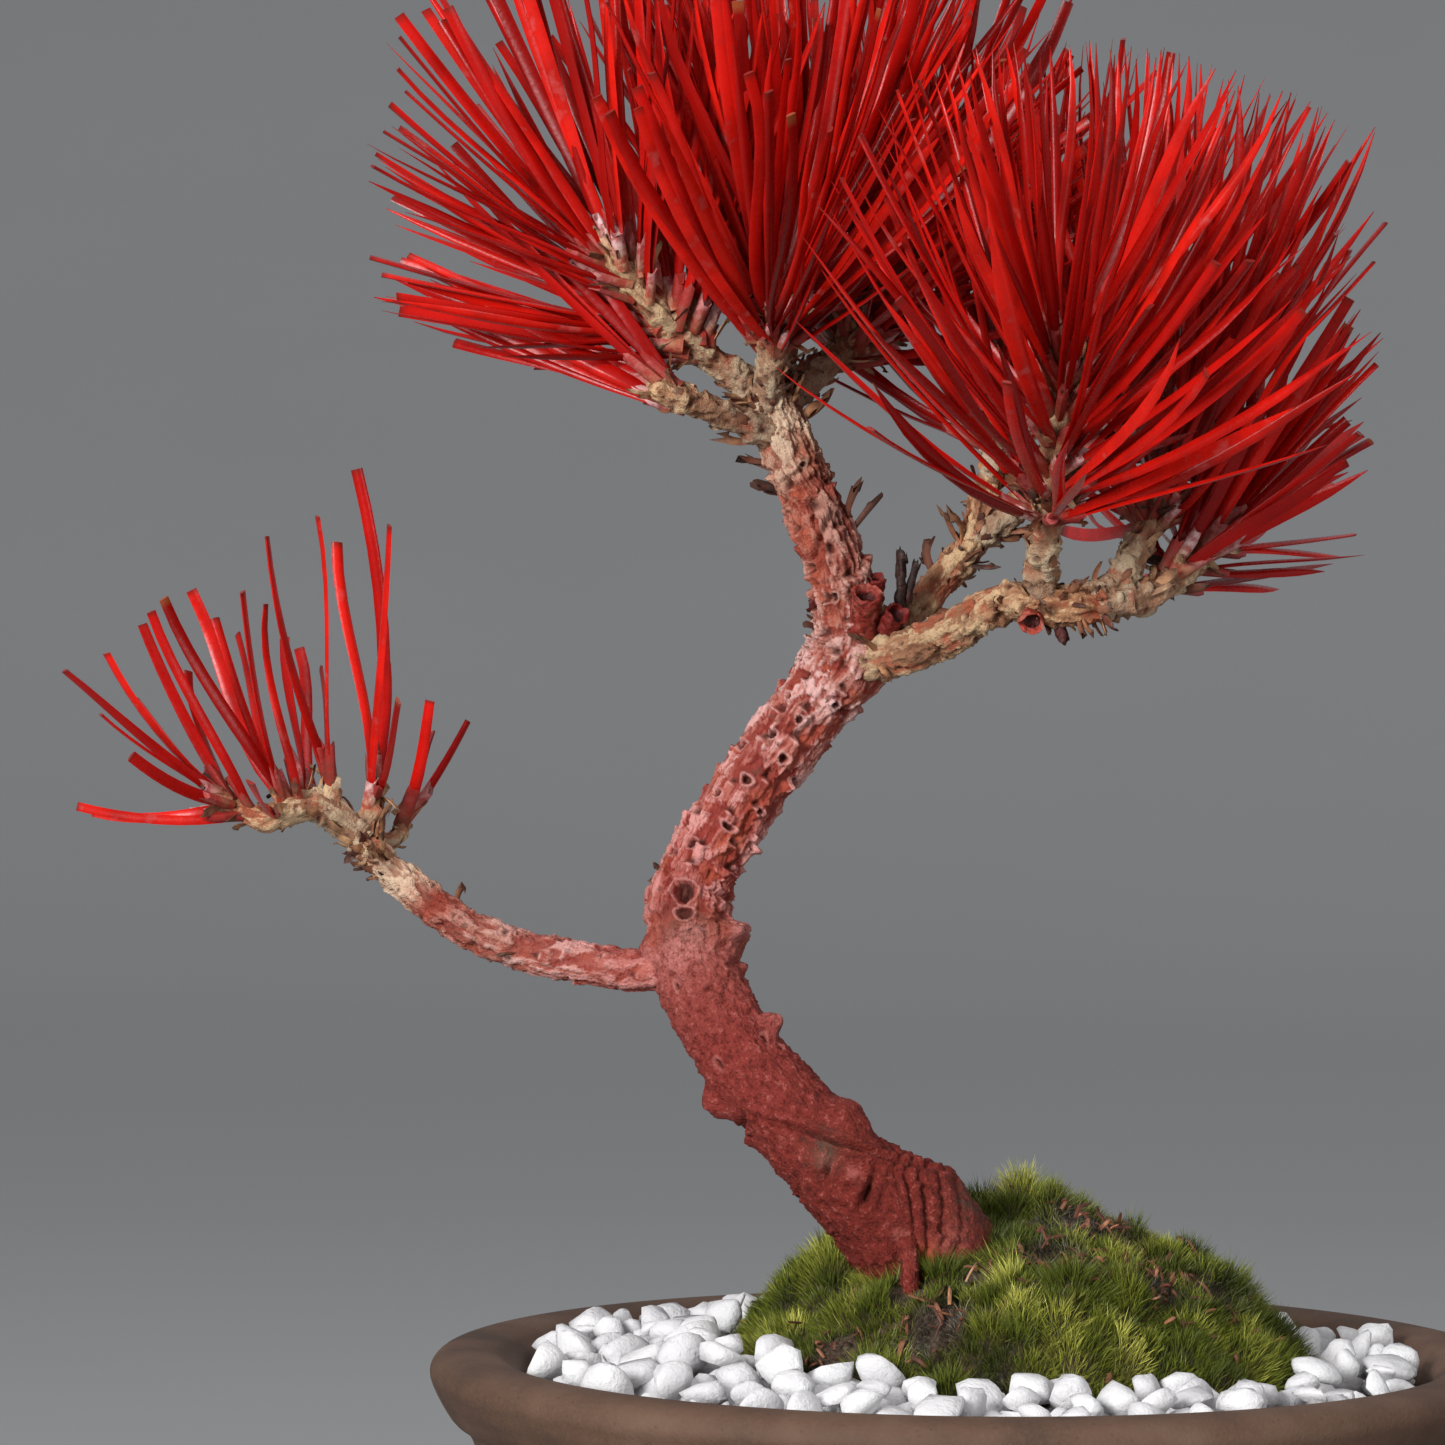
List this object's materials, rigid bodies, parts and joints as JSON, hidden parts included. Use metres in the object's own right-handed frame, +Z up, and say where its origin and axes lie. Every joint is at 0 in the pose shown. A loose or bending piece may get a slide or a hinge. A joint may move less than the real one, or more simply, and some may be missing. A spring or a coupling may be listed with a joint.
{
  "type": "japanese black pine bonsai",
  "caption": "Small Japanese black pine bonsai with a curved trunk and brushes of red needles, in a round unglazed brown pot with a moss mound and white gravel",
  "frame": {"origin": "Middle of the whole outline seen from above, at the height of the pot's foot", "axes": "+Z up along the tree's height, -Y towards the viewer of the picture, +X to the picture's right, where the heavier of the two crowns hangs over the pot's rim"},
  "size_m": [0.1732, 0.1323, 0.229],
  "materials": {
    "clay": "matte",
    "plastic": "matte",
    "soil": "matte",
    "moss": "matte",
    "stone": "matte",
    "bark": "matte",
    "needles": "satin"
  },
  "bodies": {
    "root": {"pot": "clay", "drain_screen": "plastic", "soil": "soil", "moss": "moss", "gravel": "stone", "trunk": "bark", "left_spray": "needles", "top_spray_low": "needles", "top_spray_left": "needles", "top_spray_middle": "needles", "top_spray_right": "needles", "top_spray_front": "needles", "right_spray_front": "needles", "right_spray_low": "needles", "right_spray_back": "needles", "right_spray_high": "needles", "right_spray_middle": "needles"}
  },
  "joints": []
}
